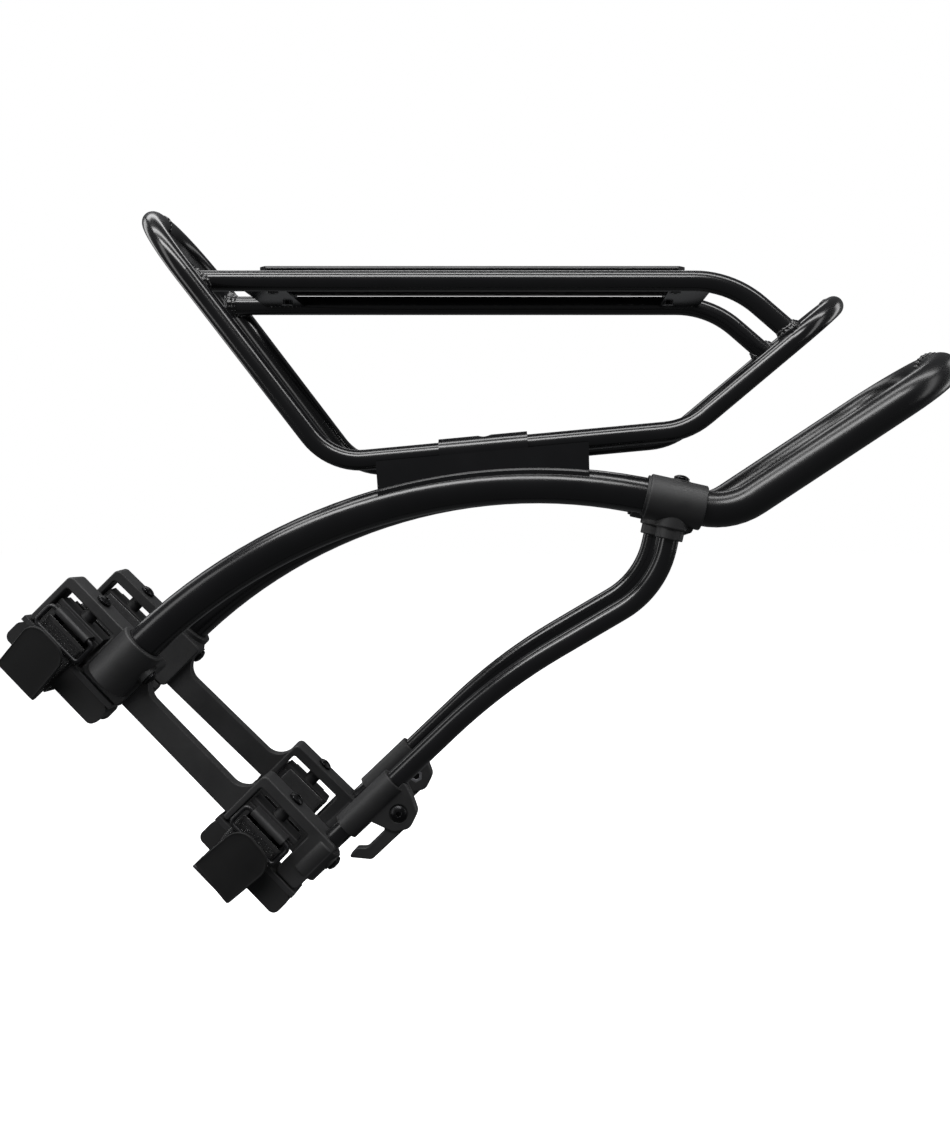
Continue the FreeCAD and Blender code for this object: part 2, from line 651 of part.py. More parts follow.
def ring():
    """A rounded rectangle of round wire, hinged in the carrier by its back bar."""
    w = (RING_W[0] + RING_W[1]) / 2
    corners = [V(0, RING_BACK_V, w), V(RING_HALF_U - RING_BAR_R, RING_BACK_V, w),
               V(RING_HALF_U - RING_BAR_R, RING_FRONT_V, w), V(-RING_HALF_U + RING_BAR_R, RING_FRONT_V, w),
               V(-RING_HALF_U + RING_BAR_R, RING_BACK_V, w), V(0, RING_BACK_V, w)]
    first = rod(corners[:3] + [V(0, RING_FRONT_V, w)], [3.0, 3.0], RING_BAR_R)
    second = rod([V(0, RING_FRONT_V, w)] + corners[3:], [3.0, 3.0], RING_BAR_R)
    return first.fuse(second).removeSplitter()


def strap():
    """The webbing from the inner side of the carrier, round the stay, to the ring."""
    front = STAY_V - STAY_R - 0.4
    inner = STRAP_INNER
    outer = STRAP_INNER + STRAP_THICK
    nose = front - STRAP_THICK
    width = (-STRAP_WIDTH / 2, STRAP_WIDTH / 2)
    band = plate_vw([(STRAP_INNER_BACK, -outer), (STRAP_BACK, outer), (nose, outer), (nose, -outer)],
                    [0.3, 0.3, 5.8, 5.8], width)
    hollow = plate_vw([(20.0, -inner), (20.0, inner), (front, inner), (front, -inner)], 4.0, width)
    ear_gap = block((-14.0, 14.0), (-30.0, 0.0), (5.0, 20.0))
    return band.cut(hollow).cut(ear_gap)


def tail(level):
    """The free end of the strap, folded back over the ring, with a rounded tip."""
    half = STRAP_WIDTH / 2
    tip = HEEL_V + TAIL_LENGTH[level]
    corners = [V(-half, HEEL_V, TAIL_W[0]), V(half, HEEL_V, TAIL_W[0]), V(half, tip, TAIL_W[0]),
               V(-half, tip, TAIL_W[0])]
    body = slab(corners, [1.5, 1.5, 11.0, 11.0], V(0, 0, TAIL_W[1] - TAIL_W[0]))
    body.rotate(V(0, HEEL_V, 0), V(0, 0, 1), TAIL_TURN[level])
    body.rotate(V(0, HEEL_V, HEEL_W), V(1, 0, 0), TAIL_TILT[level])
    return body


# ---------------------------------------------------------------- strut hooks
HOOK_BOLT = (-43.7, -333.1)
HOOK_SLEEVE = (-46.6, -76.0)        # x of the sleeve's two ends
HOOK_SLEEVE_R = 8.6
HOOK_HALF = 5.0
HOOK_ARM_HALF = 3.5
HEAD_RECESS = 0.8           # depth of the round recess under the bolt head


def on_strut(x):
    """The point of the strut's straight lower run at this x."""
    start = STRUT_POINTS[3]
    return start + STRUT_LAST * ((x - start.x) / STRUT_LAST.x)


def hook_clamp():
    """A clamp sleeve on the strut, with an ear for its bolt and an open hook."""
    upper = on_strut(HOOK_SLEEVE[0])
    lower = on_strut(HOOK_SLEEVE[1])
    y = -on_strut(HOOK_BOLT[0]).y
    sleeve = cylinder(upper, lower, HOOK_SLEEVE_R)

    def flat(points, radii, half, edge_radius):
        corners = [side(point, y) + V(0, -half, 0) for point in points]
        return softened(slab(corners, radii, V(0, 2 * half, 0)), "y", edge_radius)

    ear = flat([(-41.5, -311.5), (-36.5, -321.0), (-32.2, -333.0), (-37.0, -342.5), (-47.0, -344.5),
                (-61.0, -338.0), (-70.0, -337.5)], [4.0, 6.0, 6.0, 6.0, 6.0, 6.0, 1.5], HOOK_HALF, 0.9)
    arm = flat([(-35.6, -334.2), (-39.9, -342.7), (-59.9, -361.4), (-74.4, -360.0), (-69.0, -354.2),
                (-62.9, -354.2), (-52.6, -344.2), (-52.6, -337.2)],
               [1.1, 4.0, 4.0, 1.1, 1.1, 4.0, 4.0, 1.1], HOOK_ARM_HALF, 0.7)
    body = fused([sleeve, ear, arm])
    bore = cylinder(upper - STRUT_LAST * 5, lower + STRUT_LAST * 5, THIN_R + 0.08)
    bolt = side(HOOK_BOLT, y)
    hole = cylinder(bolt + OUT * 12, bolt - OUT * 12, 2.6)
    slit_direction = unit(V(HOOK_BOLT[0], 0, HOOK_BOLT[1]) - V(upper.x - 12, 0, upper.z - 12))
    slit = slab([upper - STRUT_LAST * 8 + OUT * 0.5, lower + STRUT_LAST * 8 + OUT * 0.5,
                 lower + STRUT_LAST * 8 + OUT * 0.5 + slit_direction * 11,
                 upper - STRUT_LAST * 8 + OUT * 0.5 + slit_direction * 11], 0.5, OUT * -1.0)
    nut_seat = Part.Face(Part.Wire(Part.makePolygon(hexagon_points(bolt - OUT * 2.4, OUT, 4.05))))
    pocket = nut_seat.extrude(OUT * -6)
    head_recess = cylinder(bolt + OUT * (HOOK_HALF - HEAD_RECESS), bolt + OUT * 12, HEAD_R + 0.9)
    return body.cut(bore).cut(hole).cut(pocket).cut(slit).cut(head_recess)


def hook_bolt():
    y = -on_strut(HOOK_BOLT[0]).y
    seat = side(HOOK_BOLT, y) + OUT * (HOOK_HALF - HEAD_RECESS)
    return button_screw(seat, OUT * -1, 2.5, 2 * HOOK_HALF - HEAD_RECESS - 0.5)


def hook_nut():
    y = -on_strut(HOOK_BOLT[0]).y
    centre = side(HOOK_BOLT, y) - OUT * 2.5
    face = Part.Face(Part.Wire(Part.makePolygon(hexagon_points(centre, OUT, 4.0))))
    nut = face.extrude(OUT * -2.3)
    return nut.cut(cylinder(centre + OUT, centre - OUT * 4, 2.5))


# ---------------------------------------------------------------- writing the nodes
def write(name, shape):
    shape.exportStep("parts/%s.step" % name)
    print("%-30s solids %d  volume %9.1f  valid %s" % (name, len(shape.Solids), shape.Volume, shape.isValid()))


def write_pair(name, shape):
    write(name + "_left", shape)
    write(name + "_right", mirrored(shape))


def both(shapes):
    """One group holding each solid and its mirror image."""
    return Part.makeCompound(shapes + [mirrored(shape) for shape in shapes])


write_pair("main_tube", main_tube())
write_pair("strut", strut())
write_pair("junction_clamp", junction_clamp())
write_pair("deck_hoop", deck_hoop())
write_pair("deck_rail", deck_rail())
write_pair("saddle", saddle())
write_pair("side_bracket", side_bracket())
write("track_plate", track_plate())
write("cross_plate_front", cross_plate(CROSS_PLATE_FRONT_X))
write("cross_plate_rear", cross_plate(CROSS_PLATE_REAR_X))
write("hoop_plate", hoop_plate())
write("track_screws", track_screws())
write("junction_bolts", both([junction_bolt()]))
write("strut_inserts", both([strut_insert()]))
write("socket_screws", both(socket_screws()))
write_pair("hook_clamp", hook_clamp())
write_pair("hook_bolt", hook_bolt())
write_pair("hook_nut", hook_nut())
for level, drop in (("upper", 0.0), ("lower", SWIVEL_SPACING)):
    write_pair("cradle_carrier_" + level, placed(carrier(level), drop))
    write_pair("cradle_pad_" + level, placed(pad(level), drop))
    write_pair("swivel_screw_" + level, placed(swivel_screw(), drop))
    write_pair("strap_ring_" + level, placed(ring(), drop))
    write_pair("strap_" + level, placed(strap(), drop))
    write_pair("strap_tail_" + level, placed(tail(level), drop))
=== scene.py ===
import json
import math
import random

import bmesh
import bpy
from mathutils import Matrix, Vector, noise
from mathutils.bvhtree import BVHTree


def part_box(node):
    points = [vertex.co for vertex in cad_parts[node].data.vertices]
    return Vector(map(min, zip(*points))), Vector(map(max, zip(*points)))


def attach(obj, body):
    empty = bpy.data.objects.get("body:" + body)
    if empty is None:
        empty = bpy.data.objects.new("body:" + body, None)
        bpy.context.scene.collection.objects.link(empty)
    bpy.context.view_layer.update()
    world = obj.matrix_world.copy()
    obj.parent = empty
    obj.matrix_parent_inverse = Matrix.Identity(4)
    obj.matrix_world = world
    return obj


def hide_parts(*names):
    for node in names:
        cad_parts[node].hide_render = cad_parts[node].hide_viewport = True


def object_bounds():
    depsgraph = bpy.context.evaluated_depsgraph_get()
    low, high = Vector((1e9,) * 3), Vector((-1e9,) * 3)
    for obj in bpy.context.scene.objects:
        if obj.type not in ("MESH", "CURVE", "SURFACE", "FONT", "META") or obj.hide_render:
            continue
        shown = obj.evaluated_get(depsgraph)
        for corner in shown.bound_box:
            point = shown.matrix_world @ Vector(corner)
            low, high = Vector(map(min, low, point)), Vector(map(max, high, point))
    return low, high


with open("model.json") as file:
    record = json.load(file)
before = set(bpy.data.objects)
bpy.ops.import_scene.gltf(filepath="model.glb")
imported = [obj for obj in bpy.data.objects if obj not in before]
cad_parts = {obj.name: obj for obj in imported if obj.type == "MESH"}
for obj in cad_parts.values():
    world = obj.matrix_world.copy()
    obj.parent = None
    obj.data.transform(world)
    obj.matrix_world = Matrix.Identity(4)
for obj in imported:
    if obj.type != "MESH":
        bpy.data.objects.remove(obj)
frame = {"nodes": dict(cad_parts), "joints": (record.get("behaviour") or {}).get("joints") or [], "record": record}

# Looks of the rear rack.  Lengths in the stay frames below are in millimetres:
# u runs down the stay, v points back and up, w points outward.

CAD_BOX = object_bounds()
MM = 0.001
KEYS = ["upper_left", "upper_right", "lower_left", "lower_right"]
JOINTS = {joint["name"]: joint for joint in frame["joints"]}


# ---------------------------------------------------------------- camera
CAMERA_PLACE = (0.0417, -0.779, -0.1467)
CAMERA_LENS = 45.4
CAMERA_SHIFT = (-0.0684, -0.0600)


def make_camera():
    data = bpy.data.cameras.new("view_camera")
    camera = bpy.data.objects.new("view_camera", data)
    bpy.context.scene.collection.objects.link(camera)
    camera.location = CAMERA_PLACE
    camera.rotation_euler = (math.radians(90), 0, 0)
    data.sensor_fit = "HORIZONTAL"
    data.sensor_width = 36
    data.lens = CAMERA_LENS
    data.shift_x, data.shift_y = CAMERA_SHIFT
    data.clip_start = 0.01
    data.clip_end = 50
    bpy.context.scene.camera = camera
    bpy.context.scene.view_settings.view_transform = "Standard"


make_camera()


# ---------------------------------------------------------------- node helpers
class Nodes:
    """A small hand for building a material's node tree."""

    def __init__(self, name):
        self.material = bpy.data.materials.new(name)
        self.material.use_nodes = True
        self.tree = self.material.node_tree
        self.shader = self.tree.nodes["Principled BSDF"]

    def add(self, kind, **settings):
        node = self.tree.nodes.new("ShaderNode" + kind)
        for key, value in settings.items():
            setattr(node, key, value)
        return node

    def link(self, source, target):
        self.tree.links.new(source, target)

    def put(self, value, socket):
        if isinstance(value, bpy.types.NodeSocket):
            self.link(value, socket)
        else:
            socket.default_value = value

    def math(self, operation, first, second=0.0, clamp=False):
        node = self.add("Math", operation=operation, use_clamp=clamp)
        self.put(first, node.inputs[0])
        self.put(second, node.inputs[1])
        return node.outputs[0]

    def position(self):
        return self.add("TexCoord").outputs["Object"]

    def noise(self, scale, detail=3.0, roughness=0.55, vector=None):
        node = self.add("TexNoise")
        node.inputs["Scale"].default_value = scale
        node.inputs["Detail"].default_value = detail
        node.inputs["Roughness"].default_value = roughness
        self.link(vector or self.position(), node.inputs["Vector"])
        return node.outputs["Fac"]

    def spread(self, value, low, high, start=0.3, end=0.7):
        node = self.add("MapRange")
        self.put(value, node.inputs["Value"])
        node.inputs["From Min"].default_value = start
        node.inputs["From Max"].default_value = end
        self.put(low, node.inputs["To Min"])
        self.put(high, node.inputs["To Max"])
        return node.outputs["Result"]

    def colours(self, factor, low, high):
        node = self.add("Mix", data_type="RGBA")
        self.put(factor, node.inputs["Factor"])
        node.inputs[6].default_value = (*low, 1)
        node.inputs[7].default_value = (*high, 1)
        return node.outputs[2]

    def bump(self, height, distance, strength=1.0, normal=None):
        node = self.add("Bump")
        node.inputs["Strength"].default_value = strength
        node.inputs["Distance"].default_value = distance
        self.link(height, node.inputs["Height"])
        if normal is not None:
            self.link(normal, node.inputs["Normal"])
        return node.outputs["Normal"]

    def soft_edges(self, radius):
        node = self.add("Bevel", samples=4)
        node.inputs["Radius"].default_value = radius
        return node.outputs["Normal"]

    def edge_mask(self, radius):
        """Near 1 on an edge and 0 on a flat face."""
        rounded = self.soft_edges(radius)
        plain = self.add("NewGeometry").outputs["Normal"]
        dot = self.add("VectorMath", operation="DOT_PRODUCT")
        self.link(rounded, dot.inputs[0])
        self.link(plain, dot.inputs[1])
        return self.spread(dot.outputs["Value"], 1.0, 0.0, 0.86, 0.995)

    def set(self, **sockets):
        for key, value in sockets.items():
            self.put(value, self.shader.inputs[key.replace("_", " ")])


# ---------------------------------------------------------------- materials
def gloss_paint(satin_loop):
    """Gloss black coat on the tubes.  On the main tubes the rear loop has a softer sheen."""
    m = Nodes("gloss_black_coat_and_satin_loop" if satin_loop else "gloss_black_coat")
    cloud = m.noise(38.0, 2.0)
    fine = m.noise(420.0, 2.0)
    roughness = m.spread(cloud, 0.18, 0.23)
    if satin_loop:
        x = m.add("SeparateXYZ")
        m.link(m.position(), x.inputs[0])
        mixed = m.add("Mix", data_type="FLOAT")
        m.link(m.spread(x.outputs["X"], 0.0, 1.0, 0.1400, 0.1425), mixed.inputs[0])
        m.link(roughness, mixed.inputs[2])
        m.link(m.spread(cloud, 0.25, 0.29), mixed.inputs[3])
        roughness = mixed.outputs[0]
    m.link(m.colours(cloud, (0.0035, 0.0035, 0.004), (0.0065, 0.0065, 0.0072)), m.shader.inputs["Base Color"])
    m.link(roughness, m.shader.inputs["Roughness"])
    m.link(m.bump(fine, 0.000006, 0.2), m.shader.inputs["Normal"])
    m.set(Specular_IOR_Level=0.5)
    if not satin_loop:
        m.set(Coat_Weight=0.15, Coat_Roughness=0.12)
    return m.material


def satin_black():
    """Anodised plate and wire: a fine brushed grain under a soft sheen, and a painted highlight that pales every
    edge.
    """
    m = Nodes("satin_black_metal")
    stretch = m.add("Mapping")
    stretch.inputs["Scale"].default_value = (60, 1800, 1800)
    m.link(m.position(), stretch.inputs["Vector"])
    grain = m.noise(1.0, 3.0, 0.6, stretch.outputs["Vector"])
    cloud = m.noise(30.0)
    # Painted highlight: every edge is mixed to a paler colour, as if it were catching the lamps.
    edge_highlight = m.edge_mask(0.0004)
    m.link(m.colours(edge_highlight, (0.008, 0.008, 0.009), (0.035, 0.035, 0.037)), m.shader.inputs["Base Color"])
    m.link(m.spread(cloud, 0.30, 0.42), m.shader.inputs["Roughness"])
    m.link(m.bump(grain, 0.00001, 0.5, m.soft_edges(0.0004)), m.shader.inputs["Normal"])
    m.set(Metallic=0.2)
    return m.material


def moulded_nylon():
    """Glass-filled nylon: charcoal, finely grained, a little paler on its edges, which is a painted highlight."""
    m = Nodes("charcoal_nylon")
    grain = m.noise(2600.0, 4.0, 0.7)
    pebble = m.noise(900.0, 2.0)
    cloud = m.noise(45.0, 3.0)
    height = m.math("ADD", grain, m.math("MULTIPLY", pebble, 0.6))
    # Painted highlight: edges are mixed towards a paler charcoal, on top of the random cloud tone.
    edge_highlight = m.edge_mask(0.0006)
    tone_and_edge_highlight = m.math("ADD", m.math("MULTIPLY", edge_highlight, 0.45), m.math("MULTIPLY", cloud, 0.5), True)
    m.link(m.colours(tone_and_edge_highlight, (0.010, 0.010, 0.0104), (0.038, 0.038, 0.039)), m.shader.inputs["Base Color"])
    m.link(m.spread(cloud, 0.46, 0.58), m.shader.inputs["Roughness"])
    m.link(m.bump(height, 0.00004, 0.55, m.soft_edges(0.0007)), m.shader.inputs["Normal"])
    m.set(Specular_IOR_Level=0.5)
    return m.material


def rubber():
    m = Nodes("matte_rubber")
    grain = m.noise(1900.0, 3.0, 0.6)
    cloud = m.noise(60.0, 3.0)
    m.link(m.colours(cloud, (0.0065, 0.0065, 0.0068), (0.015, 0.015, 0.0153)), m.shader.inputs["Base Color"])
    m.link(m.spread(cloud, 0.62, 0.74), m.shader.inputs["Roughness"])
    m.link(m.bump(grain, 0.00003, 0.5), m.shader.inputs["Normal"])
    m.set(Specular_IOR_Level=0.3, Sheen_Weight=0.06, Sheen_Roughness=0.5)
    return m.material


def strap_grip():
    """Rubberised strap end: dull face with a faint woven print under the skin."""
    m = Nodes("strap_end_skin")
    uv = m.add("UVMap").outputs["UV"]
    parts = m.add("SeparateXYZ")
    m.link(uv, parts.inputs[0])
    across = m.math("SINE", m.math("MULTIPLY", parts.outputs["X"], 2 * math.pi / 0.9))
    along = m.math("SINE", m.math("MULTIPLY", parts.outputs["Y"], 2 * math.pi / 0.9))
    weave = m.math("MULTIPLY", across, along)
    grain = m.noise(2200.0, 3.0)
    height = m.math("ADD", m.math("MULTIPLY", weave, 0.25), grain)
    cloud = m.noise(80.0, 3.0)
    m.link(m.colours(cloud, (0.0034, 0.0034, 0.0036), (0.0074, 0.0074, 0.0076)),
           m.shader.inputs["Base Color"])
    m.link(m.spread(cloud, 0.58, 0.70), m.shader.inputs["Roughness"])
    m.link(m.bump(height, 0.00003, 0.4), m.shader.inputs["Normal"])
    m.set(Specular_IOR_Level=0.3, Sheen_Weight=0.06, Sheen_Roughness=0.4)
    return m.material


def webbing():
    """Woven tape: ribs along the strap crossed by the weft, in matte black."""
    m = Nodes("woven_tape")
    uv = m.add("UVMap").outputs["UV"]
    parts = m.add("SeparateXYZ")
    m.link(uv, parts.inputs[0])
    warp = m.math("SINE", m.math("MULTIPLY", parts.outputs["X"], 2 * math.pi / 1.3))
    weft = m.math("SINE", m.math("MULTIPLY", parts.outputs["Y"], 2 * math.pi / 0.8))
    weave = m.math("MULTIPLY", warp, weft)
    fibre = m.noise(3500.0, 4.0, 0.7)
    height = m.math("ADD", m.math("ADD", m.math("MULTIPLY", weave, 0.5), m.math("ABSOLUTE", warp)), fibre)
    m.link(m.colours(m.spread(height, 0.0, 1.0, 0.2, 1.9), (0.006, 0.006, 0.0065), (0.028, 0.028, 0.029)),
           m.shader.inputs["Base Color"])
    m.link(m.spread(fibre, 0.75, 0.95), m.shader.inputs["Roughness"])
    m.link(m.bump(height, 0.00022, 0.7), m.shader.inputs["Normal"])
    m.set(Specular_IOR_Level=0.25, Sheen_Weight=0.6, Sheen_Roughness=0.45)
    return m.material


def pile():
    """The brushed loop side of the strap."""
    m = Nodes("loop_pile")
    fibre = m.noise(2800.0, 5.0, 0.75)
    clump = m.noise(600.0, 2.0)
    m.link(m.colours(m.math("MULTIPLY", fibre, clump), (0.004, 0.004, 0.0045), (0.05, 0.05, 0.052)),
           m.shader.inputs["Base Color"])
    m.link(m.spread(fibre, 0.8, 0.98), m.shader.inputs["Roughness"])
    m.link(m.bump(fibre, 0.0005, 0.9), m.shader.inputs["Normal"])
    m.set(Specular_IOR_Level=0.2, Sheen_Weight=0.8, Sheen_Roughness=0.35)
    return m.material


def screw_black():
    """Black oxide steel, slightly shiny, brighter on every edge, which is a painted highlight."""
    m = Nodes("black_oxide_steel")
    cloud = m.noise(260.0, 3.0)
    # Painted highlight: every edge of the screw is mixed to a brighter grey.
    edge_highlight = m.edge_mask(0.0003)
    m.link(m.colours(edge_highlight, (0.014, 0.014, 0.015), (0.10, 0.10, 0.105)), m.shader.inputs["Base Color"])
    m.link(m.spread(cloud, 0.22, 0.34), m.shader.inputs["Roughness"])
    m.link(m.bump(cloud, 0.00001, 0.3, m.soft_edges(0.0003)), m.shader.inputs["Normal"])
    m.set(Metallic=0.85)
    return m.material


def zinc():
    m = Nodes("zinc_plate")
    cloud = m.noise(420.0, 3.0)
    m.link(m.colours(cloud, (0.42, 0.42, 0.44), (0.62, 0.62, 0.64)), m.shader.inputs["Base Color"])
    m.link(m.spread(cloud, 0.28, 0.42), m.shader.inputs["Roughness"])
    m.link(m.soft_edges(0.0003), m.shader.inputs["Normal"])
    m.set(Metallic=1.0)
    return m.material


GLOSS = gloss_paint(False)
GLOSS_AND_SATIN = gloss_paint(True)
SATIN = satin_black()
NYLON = moulded_nylon()
RUBBER = rubber()
GRIP = strap_grip()
WEBBING = webbing()
PILE = pile()
SCREW = screw_black()
ZINC = zinc()

SLOT_MATERIALS = {
    "gloss_black_paint": GLOSS,
    "satin_black_anodised": SATIN,
    "moulded_nylon": NYLON,
    "rubber_pad": RUBBER,
    "strap_fabric": WEBBING,
    "strap_grip": GRIP,
    "black_screw": SCREW,
    "steel_insert": ZINC,
}


def finish_cad_nodes():
    slots = {part["node"]: part["material_slot"] for part in frame["record"]["subparts"]}
    for name, node in frame["nodes"].items():
        material = GLOSS_AND_SATIN if name.startswith("main_tube") else SLOT_MATERIALS[slots[name]]
        if not node.material_slots:
            node.data.materials.append(material)
        for slot in node.material_slots:
            slot.material = material


finish_cad_nodes()


# ---------------------------------------------------------------- mesh helpers
def make_piece(name, vertices, faces, material, body, uvs=None, smooth=True):
    mesh = bpy.data.meshes.new(name)
    mesh.from_pydata([tuple(v) for v in vertices], [], faces)
    shell = bmesh.new()
    shell.from_mesh(mesh)
    bmesh.ops.recalc_face_normals(shell, faces=shell.faces)
    shell.to_mesh(mesh)
    shell.free()
    if uvs is not None:
        layer = mesh.uv_layers.new(name="UVMap")
        for loop in mesh.loops:
            layer.data[loop.index].uv = uvs[loop.vertex_index]
    mesh.polygons.foreach_set("use_smooth", [smooth] * len(mesh.polygons))
    mesh.materials.append(material)
    piece = bpy.data.objects.new(name, mesh)
    bpy.context.scene.collection.objects.link(piece)
    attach(piece, body)
    return piece


def ring_faces(rings, size, closed=False):
    """Faces that join neighbouring rings of vertices, with flat caps on an open run."""
    faces = []
    for row in range(rings if closed else rings - 1):
        here = row * size
        there = ((row + 1) % rings) * size
        for i in range(size):
            j = (i + 1) % size
            faces.append((here + i, here + j, there + j, there + i))
    if not closed:
        faces.append(tuple(range(size)))
        faces.append(tuple((rings - 1) * size + i for i in range(size)))
    return faces


def arc_path(points, radius, step=1.2):
    """Plane points along straight runs, with rounded corners, about one step apart."""
    result = [Vector(points[0])]
    for before, corner, after in zip(points, points[1:], points[2:]):
        into = (Vector(corner) - Vector(before)).normalized()
        out = (Vector(after) - Vector(corner)).normalized()
        half = into.angle(out) / 2
        cut = radius * math.tan(half)
        start = Vector(corner) - into * cut
        end = Vector(corner) + out * cut
        inward = (out - into).normalized()
        centre = Vector(corner) + inward * (radius / math.cos(half))
        first = start - centre
        last = end - centre
        for index in range(9):
            result.append(centre + first.slerp(last, index / 8))
    result.append(Vector(points[-1]))
    dense = [result[0]]
    for point in result[1:]:
        gap = (point - dense[-1]).length
        if gap < 1e-6:
            continue
        count = max(1, round(gap / step))
        origin = dense[-1]
        for index in range(1, count + 1):
            dense.append(origin.lerp(point, index / count))
    return dense


def stay_frame(key):
    """The matrix that takes a mount's (u, v, w) in millimetres to the row frame in metres."""
    sign = 1 if key.endswith("left") else -1
    v = Vector(JOINTS["swivel_" + key]["axis"]).normalized()
    u = Vector(JOINTS["peel_" + key]["axis"]).normalized() * sign
    w = u.cross(v) * sign
    origin = Vector(JOINTS["swivel_" + key]["pos_m"]) + v * 0.020
    matrix = Matrix((u * MM, v * MM, w * MM)).transposed().to_4x4()
    matrix.translation = origin
    return matrix


def tape_section(half, thick, edge=0.55):
    """Outline of a woven tape: flat faces with full round selvedges, as (u, n)."""
    points = []
    r = thick / 2
    for index in range(25):
        x = -half + edge + (2 * half - 2 * edge) * index / 24
        points.append((x, r))
    for index in range(1, 6):
        a = math.pi / 2 - math.pi * index / 6
        points.append((half - edge + edge * math.cos(a), r * math.sin(a)))
    for index in range(25):
        x = half - edge - (2 * half - 2 * edge) * index / 24
        points.append((x, -r))
    for index in range(1, 6):
        a = -math.pi / 2 - math.pi * index / 6
        points.append((-half + edge + edge * math.cos(a), r * math.sin(a)))
    return points


def sweep_tape(path, half, thick, frame_matrix, ripple=0.0, seed=0.0, pinch_ends=True):
    """Vertices, faces and mm UVs of a tape that follows a path in the v-w plane."""
    section = tape_section(half, thick)
    vertices = []
    uvs = []
    run = 0.0
    for index, point in enumerate(path):
        before = path[max(0, index - 1)]
        after = path[min(len(path) - 1, index + 1)]
        tangent = (after - before).normalized()
        normal = Vector((-tangent.y, tangent.x))
        run += (point - before).length
        scale = 1.0
        if pinch_ends and index in (0, len(path) - 1):
            scale = 0.55
        for across, out in section:
            wave = ripple * noise.noise(Vector((across * 0.12, run * 0.11, seed)))
            offset = normal * (out * scale + wave)
            narrowing = 1.0 if scale == 1.0 else 0.985
            local = Vector((across * narrowing, point.x + offset.x, point.y + offset.y))
            vertices.append(frame_matrix @ local)
            uvs.append((across, run))
    return vertices, ring_faces(len(path), len(section)), uvs


# ---------------------------------------------------------------- stay straps
STRAP_HALF = 15.5
STRAP_THICK = 1.7
STRAP_CORNER = 4.9
STRAP_RIPPLE = 0.25
LEG = 11.3                  # from the stay's centre plane to the middle of the strap
FRONT = -65.3               # the strap's run past the front of the pad
LEG_BACK = -24.7            # where the outer leg goes into the ring
INNER_LEG_BACK = -14.8
PILE_SPAN = (-62.0, -26.6)
PILE_HALF = 14.6
PILE_GRID = (44, 52)
PILE_LOOPS = 1500


def strap_pieces(key):
    matrix = stay_frame(key)
    run = [(INNER_LEG_BACK, -LEG), (FRONT, -LEG), (FRONT, LEG), (LEG_BACK, LEG)]
    path = arc_path([Vector(p) for p in run], STRAP_CORNER)
    vertices, faces, uvs = sweep_tape(path, STRAP_HALF, STRAP_THICK, matrix, STRAP_RIPPLE, len(key))
    strap = make_piece("stay_strap_" + key, vertices, faces, WEBBING, "cradle_" + key, uvs)
    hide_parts("strap_" + key)
    pile_patch(key, matrix)


def pile_patch(key, matrix):
    """The loop pile on the outside of the strap: a raised felt skin and stray loops of fibre."""
    rng = random.Random(len(key) * 31 + ord(key[0]))
    vertices = []
    faces = []
    low, high = PILE_SPAN
    face_w = LEG + STRAP_THICK / 2 - 0.05
    columns, rows = PILE_GRID
    for row in range(rows + 1):
        for column in range(columns + 1):
            u = -PILE_HALF + 2 * PILE_HALF * column / columns
            v = low + (high - low) * row / rows
            rim = min(row, rows - row, column, columns - column)
            lift = 0.0 if rim == 0 else 0.28 + 0.34 * noise.noise(Vector((u * 1.3, v * 1.3, 3.0)))
            lift = max(lift, 0.0)
            vertices.append(matrix @ Vector((u, v, face_w + lift)))
    for row in range(rows):
        for column in range(columns):
            a = row * (columns + 1) + column
            faces.append((a, a + 1, a + columns + 2, a + columns + 1))
    for _ in range(PILE_LOOPS):
        u = rng.uniform(-14.4, 14.4)
        v = rng.uniform(low + 0.4, high - 0.4)
        turn = rng.uniform(0, math.tau)
        reach = rng.uniform(0.45, 1.1)
        height = rng.uniform(0.35, 0.85)
        along = Vector((math.cos(turn), math.sin(turn), 0))
        side = Vector((-along.y, along.x, 0)) * 0.045
        base = len(vertices)
        for index in range(6):
            t = index / 5
            lift = 0.2 + height * math.sin(math.pi * t)
            centre = Vector((u, v, face_w + lift)) + along * (reach * (t - 0.5))
            vertices.append(matrix @ (centre + side))
            vertices.append(matrix @ (centre - side))
            vertices.append(matrix @ (centre + Vector((0, 0, 0.07))))
        for index in range(5):
            here = base + index * 3
            for i in range(3):
                j = (i + 1) % 3
                faces.append((here + i, here + j, here + 3 + j, here + 3 + i))
    make_piece("strap_pile_" + key, vertices, faces, PILE, "cradle_" + key)


# ---------------------------------------------------------------- strap ends
def tail_outline(half, low, high, tip_radius, heel_radius, count=10):
    """Closed outline of the strap end in (u, v), heel at low v and rounded tip at high v."""
    points = []
    corners = [
        (half - heel_radius, low + heel_radius, heel_radius, -90),
        (half - tip_radius, high - tip_radius, tip_radius, 0),
        (-half + tip_radius, high - tip_radius, tip_radius, 90),
        (-half + heel_radius, low + heel_radius, heel_radius, 180),
    ]
    for cu, cv, radius, start in corners:
        for index in range(count + 1):
            a = math.radians(start + 90 * index / count)
            points.append(Vector((cu + radius * math.cos(a), cv + radius * math.sin(a))))
    return points


# Each strap end's length in millimetres, its lean outward and its turn in its own plane, in degrees.
TAILS = {"upper": (41.0, 18.0, 0.0), "lower": (38.0, 5.0, -5.0)}
HEEL = (-65.6, 14.2)        # the fold line in (v, w), where the peel joint's axis runs
TIP_RADIUS = 11.0
HEEL_RADIUS = 1.8


